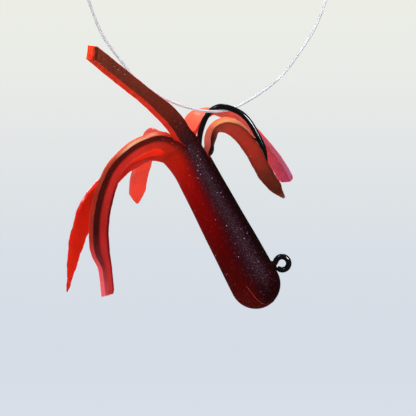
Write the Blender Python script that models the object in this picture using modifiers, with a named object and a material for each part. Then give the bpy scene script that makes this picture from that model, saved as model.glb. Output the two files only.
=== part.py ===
"""Soft plastic tube bait, 2 inch, rigged on a 1/26 oz internal jig head.

The lure hangs nose down by the bend of its hook on a loop of monofilament.
World frame: metres, +Z up. The origin is the lowest point of the underside of
the hook's crown, where the line bears. The lure is seen from its side when
looking along +Y, with the hook's eye at +X.

Lure frame (child of the empty "lure_frame"): local +Z runs along the tube's
axis from the nose to the tail, local +X towards the side that the hook eye
comes out of, and the origin is the centre of the round nose. Angles round the
tube are counted from local +X towards local -Y.
"""

import math

import bmesh
import bpy
import numpy as np
from mathutils import Matrix, Vector, geometry

MM = 0.001

# ---------------------------------------------------------------- dimensions, mm
TILT = 28.1            # degrees between the tube's axis and the vertical

# tube: outer radius at stations along the axis, counted from the nose centre
TUBE_STATIONS = [(0.0, 3.25), (3.9, 3.11), (9.0, 2.94), (16.9, 2.68), (19.96, 2.58)]
WALL = 0.90
TUBE_END = 19.96       # where the slits between the tentacles start

# hook, number 4 jig hook
WIRE_R = 0.355
EYE_CENTRE = (4.40, 0.80)    # (outwards, along the axis) in the hook's plane
EYE_R = 0.86                 # to the wire's centre line
HOOK_ANGLE = 12.0            # degrees round the tube, the plane of eye and bend
# route of shank, bend and point in the hook's plane, (outwards, along the axis)
HOOK_ROUTE = [
    (0.42, 7.0), (0.85, 12.5), (1.28, 16.4), (1.80, 18.8), (2.42, 19.95),
    (3.05, 20.75), (3.80, 21.50), (4.55, 22.08), (5.35, 22.44), (6.20, 22.57),
    (7.05, 22.36), (8.15, 21.42), (8.98, 20.20), (9.36, 18.80), (9.43, 17.30),
    (9.40, 15.70), (9.30, 14.60), (8.93, 13.15),
]
POINT_LENGTH = 2.3           # length of the ground point
BARB_TIP = (8.58, 17.25)
BARB_FOOT = (9.22, 16.05)
NECK_CLEARANCE = 0.07        # between the wire and what it passes through

# lead head, cast round the hook inside the nose
HEAD_GAP = 0.10              # to the tube's inner wall
HEAD_END = 5.2               # end of the full-bodied part
COLLAR_R = 0.95
COLLAR_END = 8.2

# tentacles
ROOT_T = 0.90                # thickness at the hinge, the tube's wall
ROOT_W = 1.85                # width at the hinge
NOTCH_W = 2.35               # width between the two deeper slits
HINGE_GAP = 0.10             # between the tube's end and the round hinge end

# Each tentacle: angle round the tube, where its slits start, widths (near the tube,
# further out), thickness, its
# route after the hinge as (position, direction that the moulded outer skin faces)
# in the lure frame, then how it narrows towards its end, as (distance from the end,
# share of the width cut away) on the side of lower angle and on the other side,
# and how far the end is cut back on the skin side
TENTACLES = {
    "tentacle_front": (56, TUBE_END, (2.15, 2.15), 0.90, [
        ((1.2, -2.9, 22.0), (0.68, -0.72, -0.14)),
        ((0.8, -5.2, 23.7), (0.84, -0.50, -0.21)),
        ((-0.3, -8.0, 25.9), (0.84, -0.50, -0.21)),
        ((-1.2, -10.6, 27.9), (0.84, -0.50, -0.21)),
        ((-2.4, -13.6, 30.4), (0.84, -0.50, -0.21)),
        ((-3.5, -16.4, 32.8), (0.84, -0.50, -0.21)),
        ((-4.4, -18.6, 34.8), (0.84, -0.50, -0.21)),
    ], [(0, 0)], [(0, 0)], 1.0),
    "tentacle_left_front": (116, TUBE_END, (2.12, 2.50), 0.98, [
        ((-1.0, -3.0, 21.5), (-0.30, -0.93, -0.20)),
        ((-2.1, -3.9, 22.3), (-0.20, -0.86, -0.47)),
        ((-3.3, -4.6, 22.6), (-0.12, -0.80, -0.60)),
        ((-6.0, -5.4, 22.5), (0.10, -0.72, -0.69)),
        ((-8.9, -5.8, 21.5), (0.32, -0.76, -0.56)),
        ((-10.8, -5.8, 20.0), (0.44, -0.79, -0.42)),
        ((-12.7, -5.5, 18.0), (0.52, -0.80, -0.31)),
        ((-14.3, -5.2, 15.7), (0.56, -0.79, -0.26)),
        ((-15.5, -4.9, 13.2), (0.57, -0.79, -0.25)),
        ((-16.6, -4.6, 10.4), (0.57, -0.79, -0.22)),
        ((-17.7, -4.3, 7.8), (0.56, -0.80, -0.20)),
    ], [(6.2, 0), (5.2, 0.10), (3.8, 0.36), (0, 0.38)], [(0.6, 0), (0, 0.06)], 0.3),
    "tentacle_left": (176, TUBE_END, (2.20, 2.20), 0.90, [
        ((-2.6, -0.3, 21.3), (-0.70, -0.10, -0.65)),
        ((-3.6, -0.3, 21.6), (-0.35, -0.12, -0.92)),
        ((-4.7, -0.1, 21.6), (-0.12, -0.15, -0.98)),
        ((-5.9, 0.4, 21.5), (0.07, -0.26, -0.96)),
        ((-7.8, 1.1, 21.4), (0.11, -0.50, -0.86)),
        ((-10.0, 1.8, 21.0), (0.21, -0.70, -0.68)),
        ((-12.3, 2.3, 20.3), (0.23, -0.82, -0.52)),
        ((-14.6, 2.5, 19.2), (0.22, -0.91, -0.35)),
        ((-16.5, 2.4, 17.4), (0.17, -0.96, -0.21)),
        ((-18.1, 2.2, 15.6), (0.15, -0.98, -0.14)),
        ((-19.48, 2.0, 13.43), (0.13, -0.99, -0.07)),
        ((-20.57, 1.8, 11.56), (0.09, -1.00, -0.05)),
        ((-21.42, 1.7, 10.13), (0.09, -1.00, -0.05)),
    ], [(0, 0)], [(8.2, 0), (6.0, 0.15), (3.0, 0.50), (1.2, 0.74), (0, 0.90)], 0.15),
    "tentacle_left_rear": (236, TUBE_END, (2.30, 2.30), 0.90, [
        ((-1.4, 3.0, 21.7), (-0.50, 0.72, 0.30)),
        ((-1.8, 5.4, 23.3), (-0.60, -0.05, -0.60)),
        ((-2.7, 8.4, 23.7), (-0.40, -0.53, -0.75)),
        ((-4.3, 11.6, 22.7), (0.03, -0.81, -0.59)),
        ((-6.0, 14.4, 21.1), (0.21, -0.86, -0.46)),
        ((-7.6, 16.8, 19.5), (0.26, -0.89, -0.37)),
        ((-9.3, 19.0, 17.0), (0.26, -0.90, -0.36)),
    ], [(1.5, 0), (0, 0.40)], [(2.2, 0), (0, 0.46)], 0.15),
    "tentacle_right_rear": (296, TUBE_END, (2.15, 2.15), 0.90, [
        ((1.6, 2.8, 21.6), (0.25, 0.93, -0.15)),
        ((3.0, 3.9, 22.7), (-0.30, 0.77, -0.56)),
        ((4.5, 5.4, 23.0), (-0.56, 0.11, -0.82)),
        ((6.0, 7.0, 22.7), (-0.63, -0.20, -0.75)),
        ((7.2, 9.0, 21.8), (-0.70, -0.46, -0.55)),
        ((8.3, 11.2, 20.2), (-0.75, -0.52, -0.42)),
        ((9.3, 13.6, 18.3), (-0.76, -0.56, -0.34)),
        ((10.0, 15.8, 15.9), (-0.73, -0.61, -0.30)),
        ((10.5, 17.5, 13.7), (-0.71, -0.66, -0.25)),
        ((10.8, 19.0, 11.5), (-0.71, -0.66, -0.25)),
        ((10.9, 20.0, 9.7), (-0.71, -0.66, -0.25)),
    ], [(0.5, 0), (0, 0.14)], [(0.4, 0), (0, 0.08)], 0.15),
    "tentacle_right": (356, 16.60, (2.20, 2.20), 0.90, [
        ((3.0, 0.3, 18.2), (0.99, -0.05, -0.10)),
        ((3.5, 0.6, 19.1), (0.94, -0.16, -0.31)),
        ((4.3, 1.1, 19.9), (0.73, -0.34, -0.59)),
        ((5.3, 1.9, 20.4), (0.05, -0.46, -0.89)),
        ((6.3, 3.0, 20.2), (-0.12, -0.54, -0.83)),
        ((7.1, 4.6, 19.3), (-0.12, -0.61, -0.78)),
        ((7.5, 6.4, 17.9), (-0.10, -0.67, -0.74)),
        ((7.8, 8.4, 15.9), (-0.08, -0.70, -0.71)),
        ((8.0, 10.8, 13.6), (-0.06, -0.72, -0.69)),
        ((8.3, 13.2, 11.1), (-0.06, -0.72, -0.69)),
        ((8.7, 14.8, 9.4), (-0.06, -0.72, -0.69)),
        ((9.1, 16.0, 8.0), (-0.06, -0.72, -0.69)),
    ], [(2.4, 0), (1.0, 0.12), (0, 0.36)], [(1.2, 0), (0, 0.30)], 0.15),
}

# line, world frame: it comes from the front left, passes in front of the
# hook's shoulder, under the crown and behind the hook's outer limb
LINE_D = 0.35
LINE_ROUTE = [
    (-17.10, -6.92, 14.77), (-16.71, -6.62, 13.40), (-15.59, -5.87, 10.22),
    (-14.56, -5.22, 8.21), (-12.33, -4.22, 5.44), (-11.00, -3.64, 3.58),
    (-9.08, -2.94, 2.23), (-8.07, -2.57, 1.62), (-6.55, -2.02, 0.89),
    (-3.74, -1.14, 0.01), (-1.70, -0.54, -0.35), (-0.80, -0.22, -0.38),
    (-0.20, 0.03, -0.31), (0.40, 0.28, -0.23), (0.90, 0.50, -0.11),
    (2.01, 0.88, 0.31), (5.74, 2.08, 2.66), (8.21, 2.98, 4.80),
    (10.34, 3.86, 7.75), (12.30, 4.76, 10.72), (13.95, 5.70, 14.86),
    (14.40, 5.98, 16.37),
]
KNOT_R = 0.55
KNOT_L = 1.30

COLOURS = {
    "skin_red": ((0.42, 0.008, 0.006, 1.0), 0.30, 0.0),
    "skin_dark": ((0.055, 0.006, 0.014, 1.0), 0.28, 0.0),
    "leg_brown": ((0.16, 0.016, 0.012, 1.0), 0.30, 0.0),
    "lead": ((0.20, 0.20, 0.21, 1.0), 0.55, 0.9),
    "black_nickel": ((0.012, 0.012, 0.014, 1.0), 0.18, 1.0),
    "monofilament": ((0.86, 0.84, 0.80, 1.0), 0.12, 0.0),
}


# ---------------------------------------------------------------- helpers
def collection(name):
    coll = bpy.data.collections.new(name)
    bpy.context.scene.collection.children.link(coll)
    return coll


def material(node, key):
    colour, roughness, metallic = COLOURS[key]
    mat = bpy.data.materials.new(node + "_material")
    mat.use_nodes = True
    shader = mat.node_tree.nodes["Principled BSDF"]
    shader.inputs["Base Color"].default_value = colour
    shader.inputs["Roughness"].default_value = roughness
    shader.inputs["Metallic"].default_value = metallic
    mat.diffuse_color = colour
    return mat


def place(obj, coll, parent=None, key=None):
    coll.objects.link(obj)
    if parent is not None:
        obj.parent = parent
    if key is not None:
        obj.data.materials.clear()
        obj.data.materials.append(material(obj.name, key))
    return obj


def spline_through(points, step):
    """Points about `step` apart on a smooth curve through the given points
    (centripetal Catmull-Rom)."""
    p = [np.array(q, float) for q in points]
    p = [2 * p[0] - p[1]] + p + [2 * p[-1] - p[-2]]
    fine = []
    for i in range(1, len(p) - 2):
        p0, p1, p2, p3 = p[i - 1:i + 3]
        t0 = 0.0
        t1 = t0 + np.linalg.norm(p1 - p0) ** 0.5
        t2 = t1 + np.linalg.norm(p2 - p1) ** 0.5
        t3 = t2 + np.linalg.norm(p3 - p2) ** 0.5
        for t in np.linspace(t1, t2, 24, endpoint=False):
            a1 = (t1 - t) / (t1 - t0) * p0 + (t - t0) / (t1 - t0) * p1
            a2 = (t2 - t) / (t2 - t1) * p1 + (t - t1) / (t2 - t1) * p2
            a3 = (t3 - t) / (t3 - t2) * p2 + (t - t2) / (t3 - t2) * p3
            b1 = (t2 - t) / (t2 - t0) * a1 + (t - t0) / (t2 - t0) * a2
            b2 = (t3 - t) / (t3 - t1) * a2 + (t - t1) / (t3 - t1) * a3
            fine.append((t2 - t) / (t2 - t1) * b1 + (t - t1) / (t2 - t1) * b2)
    fine.append(p[-2])
    fine = np.array(fine)
    run = np.concatenate([[0], np.cumsum(np.linalg.norm(np.diff(fine, axis=0), axis=1))])
    count = max(2, int(round(run[-1] / step)) + 1)
    at = np.linspace(0, run[-1], count)
    return np.stack([np.interp(at, run, fine[:, k]) for k in range(fine.shape[1])], 1)


def wire_curve(name, points, radius, sides=2, radii=None):
    """A round wire: a poly curve with a round bevel and filled caps."""
    data = bpy.data.curves.new(name, "CURVE")
    data.dimensions = "3D"
    data.bevel_depth = radius * MM
    data.bevel_resolution = sides
    data.use_fill_caps = True
    line = data.splines.new("POLY")
    line.points.add(len(points) - 1)
    for i, p in enumerate(points):
        line.points[i].co = (p[0] * MM, p[1] * MM, p[2] * MM, 1.0)
        line.points[i].radius = 1.0 if radii is None else radii[i]
    return bpy.data.objects.new(name, data)


def to_mesh(curve_obj, coll):
    """The curve's surface as a welded mesh in a new object of the same name."""
    name = curve_obj.name
    bpy.context.view_layer.update()
    graph = bpy.context.evaluated_depsgraph_get()
    mesh = bpy.data.meshes.new_from_object(curve_obj.evaluated_get(graph))
    bm = bmesh.new()
    bm.from_mesh(mesh)
    bmesh.ops.remove_doubles(bm, verts=bm.verts, dist=1e-7)
    bm.to_mesh(mesh)
    bm.free()
    matrix, parent = curve_obj.matrix_world.copy(), curve_obj.parent
    bpy.data.objects.remove(curve_obj)
    obj = bpy.data.objects.new(name, mesh)
    coll.objects.link(obj)
    obj.parent = parent
    bpy.context.view_layer.update()
    obj.matrix_world = matrix
    return obj


def cutter_settings(obj):
    obj.display_type = "WIRE"
    obj.hide_render = True
    return obj


def boolean(obj, cutter, operation="DIFFERENCE"):
    mod = obj.modifiers.new(operation.lower() + "_" + cutter.name, "BOOLEAN")
    mod.operation = operation
    mod.solver = "EXACT"
    mod.object = cutter


def turned(name, profile, steps):
    """A turned solid: an (r, z) profile about local Z with a Screw modifier.
    The profile starts and ends on the axis and runs down the outer side."""
    mesh = bpy.data.meshes.new(name)
    bm = bmesh.new()
    verts = [bm.verts.new((r * MM, 0.0, z * MM)) for r, z in profile]
    for a, b in zip(verts, verts[1:]):
        bm.edges.new((a, b))
    bm.to_mesh(mesh)
    bm.free()
    obj = bpy.data.objects.new(name, mesh)
    mod = obj.modifiers.new("turn", "SCREW")
    mod.axis = "Z"
    mod.angle = math.tau
    mod.steps = steps
    mod.render_steps = steps
    mod.use_merge_vertices = True
    mod.merge_threshold = 1e-6
    mod.use_smooth_shade = True
    return obj


def loft(name, rings):
    """A closed solid through rings of points that run anticlockwise when seen
    from the end of the solid, with both ends filled."""
    mesh = bpy.data.meshes.new(name)
    bm = bmesh.new()
    rows = [[bm.verts.new([c * MM for c in p]) for p in ring] for ring in rings]
    n = len(rows[0])
    for a, b in zip(rows, rows[1:]):
        for i in range(n):
            j = (i + 1) % n
            bm.faces.new((a[i], a[j], b[j], b[i]))
    bm.faces.new(list(reversed(rows[0])))
    bm.faces.new(rows[-1])
    bmesh.ops.triangulate(bm, faces=bm.faces)
    bmesh.ops.recalc_face_normals(bm, faces=bm.faces)
    bm.to_mesh(mesh)
    bm.free()
    return bpy.data.objects.new(name, mesh)


def unit(v):
    v = np.asarray(v, float)
    return v / np.linalg.norm(v)


def tube_radius(a):
    return float(np.interp(a, [s for s, _ in TUBE_STATIONS], [r for _, r in TUBE_STATIONS]))


def around(angle, radius, along):
    t = math.radians(angle)
    return np.array([radius * math.cos(t), -radius * math.sin(t), along])


# ---------------------------------------------------------------- hook
def hook_point(out, along):
    return around(HOOK_ANGLE, out, along)


def hook_centre_line():
    """Eye, neck, shank, bend and point, in the lure frame."""
    cu, ca = EYE_CENTRE
    eye = []
    for deg in np.arange(-24, -320, -12.0):      # the ring, from its free end
        t = math.radians(deg)
        eye.append((cu - EYE_R * math.cos(t), ca + EYE_R * math.sin(t)))
    neck = [(3.42, 1.20), (2.9, 1.06), (2.2, 1.02), (1.4, 1.02)]
    corner = [(0.75, 1.10), (0.38, 1.35), (0.18, 1.80), (0.15, 2.6), (0.20, 4.2)]
    first = spline_through(eye + neck + corner + HOOK_ROUTE, 0.42)
    return [hook_point(u, a) for u, a in first]


def build_hook(coll, frame):
    path = hook_centre_line()
    run = np.concatenate([[0], np.cumsum([np.linalg.norm(b - a) for a, b in zip(path, path[1:])])])
    left = run[-1] - run
    radii = [float(np.clip(0.05 + 0.95 * (d / POINT_LENGTH) ** 0.75, 0.05, 1.0)) for d in left]
    hook = wire_curve("jig_hook", path, WIRE_R, 3, radii)
    place(hook, coll, frame)
    hook = to_mesh(hook, coll)
    tip, foot = hook_point(*BARB_TIP), hook_point(*BARB_FOOT)
    return hook, path, tip, foot


def build_barb(coll, frame, tip, foot):
    mesh = bpy.data.meshes.new("barb_cutter")
    bm = bmesh.new()
    length = float(np.linalg.norm(tip - foot))
    bmesh.ops.create_cone(bm, cap_ends=True, segments=8, radius1=0.24 * MM,
                          radius2=0.02 * MM, depth=length * MM)
    bm.to_mesh(mesh)
    bm.free()
    barb = cutter_settings(bpy.data.objects.new("barb_cutter", mesh))
    place(barb, coll, frame)
    barb.location = [c * MM for c in (tip + foot) / 2]
    barb.rotation_euler = Vector(tip - foot).to_track_quat("Z", "Y").to_euler()
    return barb


# ---------------------------------------------------------------- tube and head
def tube_profile():
    inner_end = -tube_radius(0) + WALL
    r_in = tube_radius(0) - WALL
    inner = [(0.0, inner_end)]
    inner += [(r_in * math.sin(math.radians(t)), -r_in * math.cos(math.radians(t)))
              for t in range(15, 90, 15)]
    stations = [0.0, 2.0, 4.0, 7.0, 10.0, 13.0, 16.0, 18.0, TUBE_END]
    inner += [(tube_radius(a) - WALL, a) for a in stations]
    outer = [(tube_radius(a), a) for a in reversed(stations)]
    r0 = tube_radius(0)
    outer += [(r0 * math.sin(math.radians(t)), -r0 * math.cos(math.radians(t)))
              for t in (80, 70, 60, 50, 40, 30, 20, 10)]
    outer += [(0.0, -r0)]
    return inner + outer


def head_profile():
    r0 = tube_radius(0) - WALL - HEAD_GAP
    top = [(0.0, COLLAR_END), (COLLAR_R * 0.8, COLLAR_END), (COLLAR_R, COLLAR_END - 0.3),
           (COLLAR_R, COLLAR_END - 1.0), (COLLAR_R * 0.8, COLLAR_END - 1.2),
           (COLLAR_R * 0.8, HEAD_END + 0.9)]
    side = [(tube_radius(HEAD_END) - WALL - HEAD_GAP - 0.4, HEAD_END + 0.25)]
    side += [(tube_radius(a) - WALL - HEAD_GAP, a) for a in (HEAD_END, 3.9, 2.0, 0.0)]
    dome = [(r0 * math.sin(math.radians(t)), -r0 * math.cos(math.radians(t)))
            for t in (75, 60, 45, 30, 15)]
    return top + side + dome + [(0.0, -r0)]


def build_notch(coll, frame):
    """Where the right tentacle's slits run deeper into the tube than the others."""
    angle, start = TENTACLES["tentacle_right"][:2]
    low, high = start, TUBE_END + 1.0
    mesh = bpy.data.meshes.new("notch_cutter")
    bm = bmesh.new()
    bmesh.ops.create_cube(bm, size=MM)
    bmesh.ops.scale(bm, vec=(3.2, NOTCH_W, high - low), verts=bm.verts)
    bm.to_mesh(mesh)
    bm.free()
    notch = cutter_settings(bpy.data.objects.new("notch_cutter", mesh))
    place(notch, coll, frame)
    notch.location = Vector(around(angle, 2.5, (low + high) / 2)) * MM
    notch.rotation_euler = (0.0, 0.0, -math.radians(angle))
    return notch


# ---------------------------------------------------------------- tentacles
def hinge(angle, start):
    """Hinge point, tube direction, skin direction and hinge axis."""
    out = around(angle, 1.0, 0.0)
    along = np.array([0.0, 0.0, 1.0])
    centre = around(angle, tube_radius(start) - WALL / 2, start + HINGE_GAP + ROOT_T / 2)
    return centre, along, out, np.cross(along, out)


def tentacle_rings(angle, start, widths, full_thick, route, low_cut, high_cut, slip):
    near_w, far_w = widths
    centre, along, out, axis = hinge(angle, start)
    points = [centre, centre + 0.5 * along] + [np.array(p, float) for p, _ in route]
    facing = [out, out] + [unit(n) for _, n in route]
    path = spline_through(points, 0.75)
    keys = np.array(points)
    run = np.concatenate([[0], np.cumsum(np.linalg.norm(np.diff(path, axis=0), axis=1))])
    key_run = [run[np.argmin(np.linalg.norm(path - k, axis=1))] for k in keys]
    total = run[-1]
    rings = []

    def share(table, from_end):
        table = sorted(table)
        return float(np.interp(from_end, [x for x, _ in table], [y for _, y in table]))

    def ring(p, t, n, width, thick, mitre, from_end=None, back=0.0):
        b = np.cross(t, n)
        gone = {1: 0.0, -1: 0.0}
        if from_end is not None:
            gone = {1: share(low_cut, from_end), -1: share(high_cut, from_end)}
        corners = []
        for sb, sn in ((1, 1), (-1, 1), (-1, -1), (1, -1)):
            half = width * (0.5 - gone[sb]) + sn * mitre * thick / 2
            corners.append(p + sb * half * b + sn * thick / 2 * n - back * (0.5 + 0.5 * sn) * t)
        return corners

    mitre0 = math.tan(math.radians(30))
    for deg in (4, 30, 55, 75):           # the end is round about the hinge axis
        c, s = math.cos(math.radians(deg)), math.sin(math.radians(deg))
        rings.append(ring(centre - ROOT_T / 2 * c * along, along, out, ROOT_W, ROOT_T * s, mitre0))
    for i, p in enumerate(path):
        d = run[i]
        if 0 < i < len(path) - 1 and total - d < slip + 0.5:
            continue
        t = unit(path[min(i + 1, len(path) - 1)] - path[max(i - 1, 0)]) if i else along
        n = np.array([np.interp(d, key_run, [f[k] for f in facing]) for k in range(3)])
        n = unit(n - np.dot(n, t) * t)
        width = float(np.interp(d, [0, 4.5, 9, 14, total - 3, total],
                                [ROOT_W, near_w, near_w, far_w, far_w, far_w * 0.94]))
        thick = float(np.interp(d, [0, 4.5], [ROOT_T, full_thick]))
        mitre = mitre0 * max(0.0, 1 - d / 3.0)
        last = i == len(path) - 1
        rings.append(ring(p, t, n, width, thick, mitre, total - d, slip if last else 0.0))
    return rings


# ---------------------------------------------------------------- line
def line_points():
    return spline_through(LINE_ROUTE, 0.9)


def knot(name, coll, end, before):
    """A small barrel knot that the line ends in, standing off the line's end."""
    direction = Vector(end - before).normalized()
    mesh = bpy.data.meshes.new(name)
    bm = bmesh.new()
    bmesh.ops.create_uvsphere(bm, u_segments=12, v_segments=8, radius=1.0)
    bm.to_mesh(mesh)
    bm.free()
    obj = bpy.data.objects.new(name, mesh)
    place(obj, coll, None, "monofilament")
    obj.location = Vector([c * MM for c in end]) + direction * (KNOT_L / 2 + 0.06) * MM
    obj.rotation_euler = direction.to_track_quat("Z", "Y").to_euler()
    obj.scale = (KNOT_R * MM, KNOT_R * MM, KNOT_L / 2 * MM)
    obj.data.shade_smooth()
    return obj


# ---------------------------------------------------------------- assembly
def main():
    for obj in list(bpy.data.objects):
        bpy.data.objects.remove(obj)
    parts = collection("tube_bait")
    cutters = collection("cutters")

    frame = bpy.data.objects.new("lure_frame", None)
    parts.objects.link(frame)
    frame.rotation_euler = (0.0, -math.radians(TILT), 0.0)
    turn = frame.rotation_euler.to_matrix()

    # the lure is placed so that the crown's underside is at the origin
    crown = max((turn @ Vector(p) for p in hook_centre_line()), key=lambda v: v.z)
    frame.location = -Vector((crown.x, crown.y, crown.z - WIRE_R)) * MM
    bpy.context.view_layer.update()

    # hook
    hook, path, tip, foot = build_hook(parts, frame)
    barb = build_barb(cutters, frame, tip, foot)
    boolean(hook, barb, "UNION")
    hook.data.materials.append(material("jig_hook", "black_nickel"))

    # a slightly thicker copy of the wire clears its way through tube and head
    reach = [math.hypot(p[0], p[1]) for p in path]
    first = next(i for i, r in enumerate(reach) if r < 3.7)
    last = max(i for i, (r, p) in enumerate(zip(reach, path)) if r < 4.0 and p[2] < 21.3)
    inside = path[first:last + 1]
    clear = wire_curve("wire_cutter", inside, WIRE_R + NECK_CLEARANCE, 2)
    place(clear, cutters, frame)
    clear = cutter_settings(to_mesh(clear, cutters))

    # tube
    tube = place(turned("tube_body", tube_profile(), 48), parts, frame, "skin_red")
    boolean(tube, clear)
    boolean(tube, build_notch(cutters, frame))

    # lead head
    head = place(turned("jig_head", head_profile(), 32), parts, frame, "lead")
    boolean(head, clear)

    # tentacles, each in its own empty on its hinge axis
    for name, spec in TENTACLES.items():
        centre, along, out, axis = hinge(*spec[:2])
        pivot = bpy.data.objects.new(name + "_hinge", None)
        parts.objects.link(pivot)
        pivot.parent = frame
        basis = Matrix((tuple(axis), tuple(out), tuple(np.cross(axis, out)))).transposed()
        pivot.matrix_local = Matrix.Translation(Vector(centre) * MM) @ basis.to_4x4()
        rings = tentacle_rings(*spec)
        inverse = np.array(basis.inverted())
        rings = [[inverse @ (p - centre) for p in ring] for ring in rings]
        leg = loft(name, rings)
        place(leg, parts, pivot, "leg_brown" if name in ("tentacle_front", "tentacle_right") else "skin_red")

    # line and the knots that it ends in
    points = line_points()
    line = wire_curve("fishing_line", points, LINE_D / 2, 2)
    place(line, parts, None, "monofilament")
    knot("line_knot_left", parts, points[0], points[1])
    knot("line_knot_right", parts, points[-1], points[-2])
    bpy.context.view_layer.update()


main()
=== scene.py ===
"""Looks of the soft plastic tube bait on its jig hook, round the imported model.

Lengths in this file are millimetres in the lure frame (local +Z from the nose
to the tail along the tube, local +X to the side of the hook's eye) unless a
name says otherwise; w() takes them to world metres. Angles round the tube are
counted from local +X towards local -Y.
"""
import math

import bmesh
import bpy
import numpy as np
from mathutils import Matrix, Vector


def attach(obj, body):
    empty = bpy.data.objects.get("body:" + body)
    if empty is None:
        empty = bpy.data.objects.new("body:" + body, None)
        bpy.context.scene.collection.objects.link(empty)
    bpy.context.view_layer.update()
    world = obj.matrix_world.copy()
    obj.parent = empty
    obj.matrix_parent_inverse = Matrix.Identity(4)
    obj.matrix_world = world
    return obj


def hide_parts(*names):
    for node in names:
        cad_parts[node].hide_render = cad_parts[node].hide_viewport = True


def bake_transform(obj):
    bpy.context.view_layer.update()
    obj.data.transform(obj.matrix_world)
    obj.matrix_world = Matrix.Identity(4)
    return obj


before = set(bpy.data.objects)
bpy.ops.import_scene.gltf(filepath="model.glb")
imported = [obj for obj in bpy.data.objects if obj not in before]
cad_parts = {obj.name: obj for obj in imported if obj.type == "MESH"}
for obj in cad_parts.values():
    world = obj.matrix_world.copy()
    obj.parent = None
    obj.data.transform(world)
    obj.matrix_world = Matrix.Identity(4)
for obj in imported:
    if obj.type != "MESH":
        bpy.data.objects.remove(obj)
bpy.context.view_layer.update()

MM = 0.001

# ------------------------------------------------------------------ the camera
cam_data = bpy.data.cameras.new("camera")
cam_data.sensor_width = 36.0
cam_data.lens = 150.0
cam_data.clip_start = 0.01
cam_data.clip_end = 20.0
cam = bpy.data.objects.new("camera", cam_data)
cam.location = (-0.001697, -0.22384, -0.01274)
cam.rotation_euler = (math.radians(90), 0, 0)
bpy.context.scene.collection.objects.link(cam)
bpy.context.scene.camera = cam
bpy.context.scene.view_settings.view_transform = "Standard"

# ------------------------------------------------------------ shared dimensions
TILT = math.radians(28.1)
ORIGIN = np.array([4.479, 1.460, -22.617])
TURN = np.array([[math.cos(TILT), 0, -math.sin(TILT)], [0, 1, 0], [math.sin(TILT), 0, math.cos(TILT)]])
TUBE_STATIONS = [(0.0, 3.25), (3.9, 3.11), (9.0, 2.94), (16.9, 2.68), (19.96, 2.58)]
WALL = 0.90
TUBE_END = 19.96
DEEP = 16.60
WIRE_R = 0.355
EYE_CENTRE = (4.40, 0.80)
EYE_R = 0.86
HOOK_ANGLE = 12.0
HOOK_ROUTE = [
    (0.42, 7.0), (0.85, 12.5), (1.28, 16.4), (1.80, 18.8), (2.42, 19.95),
    (3.05, 20.75), (3.80, 21.50), (4.55, 22.08), (5.35, 22.44), (6.20, 22.57),
    (7.05, 22.36), (8.15, 21.42), (8.98, 20.20), (9.36, 18.80), (9.43, 17.30),
    (9.40, 15.70), (9.30, 14.60), (8.93, 13.15),
]
POINT_LENGTH = 2.3
BARB_TIP = (8.58, 17.25)
BARB_FOOT = (9.22, 16.05)
LEG_T = 0.90
HINGE_GAP = 0.10
LINE_D = 0.35
LINE_ROUTE = [
    (-17.10, -6.92, 14.77), (-16.71, -6.62, 13.40), (-15.59, -5.87, 10.22),
    (-14.56, -5.22, 8.21), (-12.33, -4.22, 5.44), (-11.00, -3.64, 3.58),
    (-9.08, -2.94, 2.23), (-8.07, -2.57, 1.62), (-6.55, -2.02, 0.89),
    (-3.74, -1.14, 0.01), (-1.70, -0.54, -0.35), (-0.80, -0.22, -0.38),
    (-0.20, 0.03, -0.31), (0.40, 0.28, -0.23), (0.90, 0.50, -0.11),
    (2.01, 0.88, 0.31), (5.74, 2.08, 2.66), (8.21, 2.98, 4.80),
    (10.34, 3.86, 7.75), (12.30, 4.76, 10.72), (13.95, 5.70, 14.86),
    (14.40, 5.98, 16.37),
]
KNOT_R = 0.55
KNOT_L = 1.30

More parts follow.
